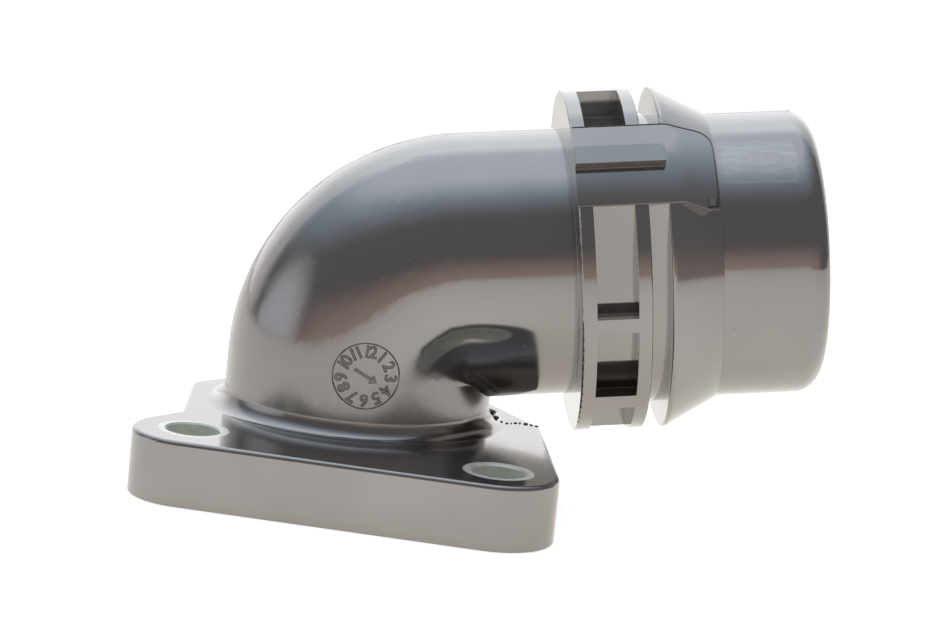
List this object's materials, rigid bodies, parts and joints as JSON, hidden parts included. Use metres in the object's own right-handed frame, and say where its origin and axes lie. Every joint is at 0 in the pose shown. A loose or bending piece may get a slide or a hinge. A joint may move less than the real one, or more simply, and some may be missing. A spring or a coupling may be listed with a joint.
{
  "type": "coolant flange",
  "caption": "Moulded coolant flange: a flat lobed base with steel-sleeved bolt holes, a tight elbow and a push-on outlet spigot behind a ribbed clip collar.",
  "frame": {"origin": "centre of the inlet in the mating face", "axes": "+Z out of the base plate along the leg, +X towards the outlet, which rises as it leaves"},
  "size_m": [0.1194, 0.0907, 0.0732],
  "materials": {
    "moulding": "gloss",
    "sleeve": "bright zinc",
    "seal": "matte"
  },
  "bodies": {
    "root": {"flange_body": "moulding", "bolt_sleeve_left": "sleeve", "bolt_sleeve_right": "sleeve", "bolt_sleeve_back": "sleeve", "seal_ring": "seal"}
  },
  "joints": []
}
